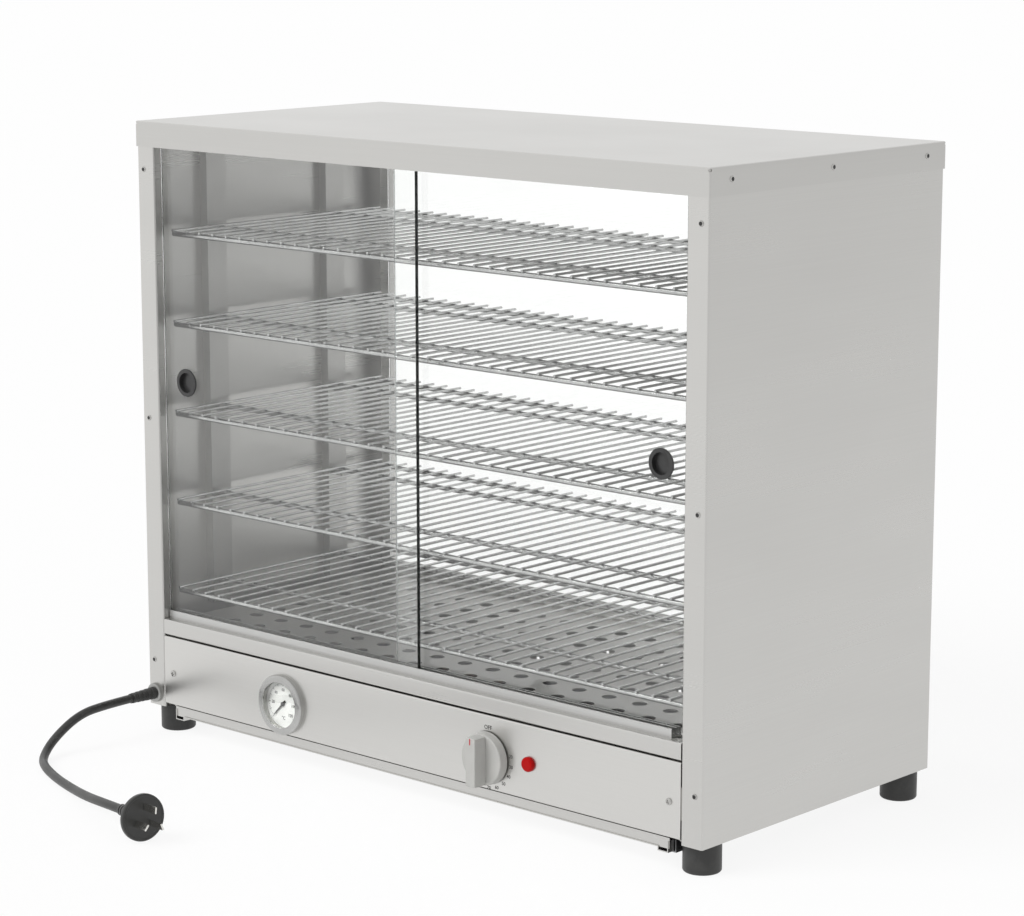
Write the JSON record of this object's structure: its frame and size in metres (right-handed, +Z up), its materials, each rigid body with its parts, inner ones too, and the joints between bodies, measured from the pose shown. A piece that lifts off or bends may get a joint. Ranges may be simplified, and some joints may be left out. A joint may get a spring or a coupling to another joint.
{
  "type": "heated pie display case",
  "caption": "Countertop heated display cabinet with wire racks, sliding glass doors, a thermostat knob, a dial thermometer, a crumb tray and a mains lead.",
  "frame": {"origin": "on the worktop, at the centre of the cabinet's footprint between its four feet", "axes": "+X to the right seen from the front, -Y out of the front with the doors and controls, +Z up"},
  "size_m": [0.7266, 0.6176, 0.62],
  "materials": {
    "stainless_sheet": "satin brushed stainless sheet",
    "galvanised_sheet": "dull galvanised sheet",
    "track_aluminium": "satin",
    "clear_glass": "clear polished",
    "black_plastic": "satin black",
    "bright_wire": "bright",
    "element_sheath": "dull oxidised",
    "control_plastic": "matt",
    "knob_plastic": "satin light grey",
    "zinc_steel": "bright zinc",
    "copper_probe": "dull",
    "bright_bezel": "polished",
    "dial_white": "satin white",
    "pointer_black": "matt black",
    "lamp_red": "gloss red",
    "gland_metal": "satin",
    "cord_rubber": "matt black",
    "blade_brass": "bright",
    "foot_rubber": "matt black"
  },
  "bodies": {
    "cabinet": {"base_pan": "galvanised_sheet", "cabinet_floor": "stainless_sheet", "cable_gland": "gland_metal", "control_panel": "stainless_sheet", "cord_sleeve": "cord_rubber", "element_brackets": "galvanised_sheet", "foot_fasteners": "zinc_steel", "front_left_foot": "foot_rubber", "front_right_foot": "foot_rubber", "front_sill": "stainless_sheet", "gland_nut": "zinc_steel", "heating_element": "element_sheath", "indicator_body": "control_plastic", "indicator_lens": "lamp_red", "internal_leads": "cord_rubber", "left_front_upright": "stainless_sheet", "left_rear_upright": "stainless_sheet", "left_side_panel": "stainless_sheet", "left_tray_runner": "galvanised_sheet", "lower_front_track": "track_aluminium", "panel_screws": "zinc_steel", "plug_body": "cord_rubber", "plug_pins": "blade_brass", "power_cord": "cord_rubber", "rack_clips": "bright_wire", "rear_base_panel": "stainless_sheet", "rear_glass": "clear_glass", "rear_left_foot": "foot_rubber", "rear_lower_channel": "track_aluminium", "rear_right_foot": "foot_rubber", "rear_sill": "stainless_sheet", "rear_upper_channel": "track_aluminium", "right_front_upright": "stainless_sheet", "right_rear_upright": "stainless_sheet", "right_side_panel": "stainless_sheet", "right_tray_runner": "galvanised_sheet", "rivets": "zinc_steel", "terminal_block": "control_plastic", "thermometer_bezel": "bright_bezel", "thermometer_case": "zinc_steel", "thermometer_dial": "dial_white", "thermometer_lens": "clear_glass", "thermometer_sensor": "copper_probe", "thermostat_body": "control_plastic", "thermostat_sensor": "copper_probe", "top_cover": "stainless_sheet", "upper_front_track": "track_aluminium"},
    "left_door": {"left_door_glass": "clear_glass", "left_door_pull": "black_plastic"},
    "right_door": {"right_door_glass": "clear_glass", "right_door_pull": "black_plastic"},
    "knob": {"thermostat_knob": "knob_plastic", "thermostat_shaft": "zinc_steel"},
    "pointer": {"thermometer_pointer": "pointer_black"},
    "tray": {"crumb_tray": "stainless_sheet"},
    "rack_body_1": {"rack_1": "bright_wire"},
    "rack_body_2": {"rack_2": "bright_wire"},
    "rack_body_3": {"rack_3": "bright_wire"},
    "rack_body_4": {"rack_4": "bright_wire"},
    "rack_body_5": {"rack_5": "bright_wire"}
  },
  "joints": [
    {"name": "left_door_slide", "type": "slide", "parent": "cabinet", "child": "left_door", "axis": [1, 0, 0], "range_m": [0, 0.312]},
    {"name": "right_door_slide", "type": "slide", "parent": "cabinet", "child": "right_door", "axis": [-1, 0, 0], "range_m": [0, 0.312]},
    {"name": "knob_turn", "type": "hinge", "parent": "cabinet", "child": "knob", "pos_m": [0.109, -0.18, 0.0615], "axis": [0, 1, 0], "range_deg": [0, 280]},
    {"name": "pointer_turn", "type": "hinge", "parent": "cabinet", "child": "pointer", "pos_m": [-0.164, -0.17, 0.0615], "axis": [0, 1, 0], "range_deg": [0, 270]},
    {"name": "tray_slide", "type": "slide", "parent": "cabinet", "child": "tray", "axis": [0, -1, 0], "range_m": [0, 0.2]},
    {"name": "rack_1_lift", "type": "slide", "parent": "cabinet", "child": "rack_body_1", "axis": [0, 0, 1], "range_m": [0, 0.02]},
    {"name": "rack_2_lift", "type": "slide", "parent": "cabinet", "child": "rack_body_2", "axis": [0, 0, 1], "range_m": [0, 0.02]},
    {"name": "rack_3_lift", "type": "slide", "parent": "cabinet", "child": "rack_body_3", "axis": [0, 0, 1], "range_m": [0, 0.02]},
    {"name": "rack_4_lift", "type": "slide", "parent": "cabinet", "child": "rack_body_4", "axis": [0, 0, 1], "range_m": [0, 0.02]},
    {"name": "rack_5_lift", "type": "slide", "parent": "cabinet", "child": "rack_body_5", "axis": [0, 0, 1], "range_m": [0, 0.02]}
  ]
}
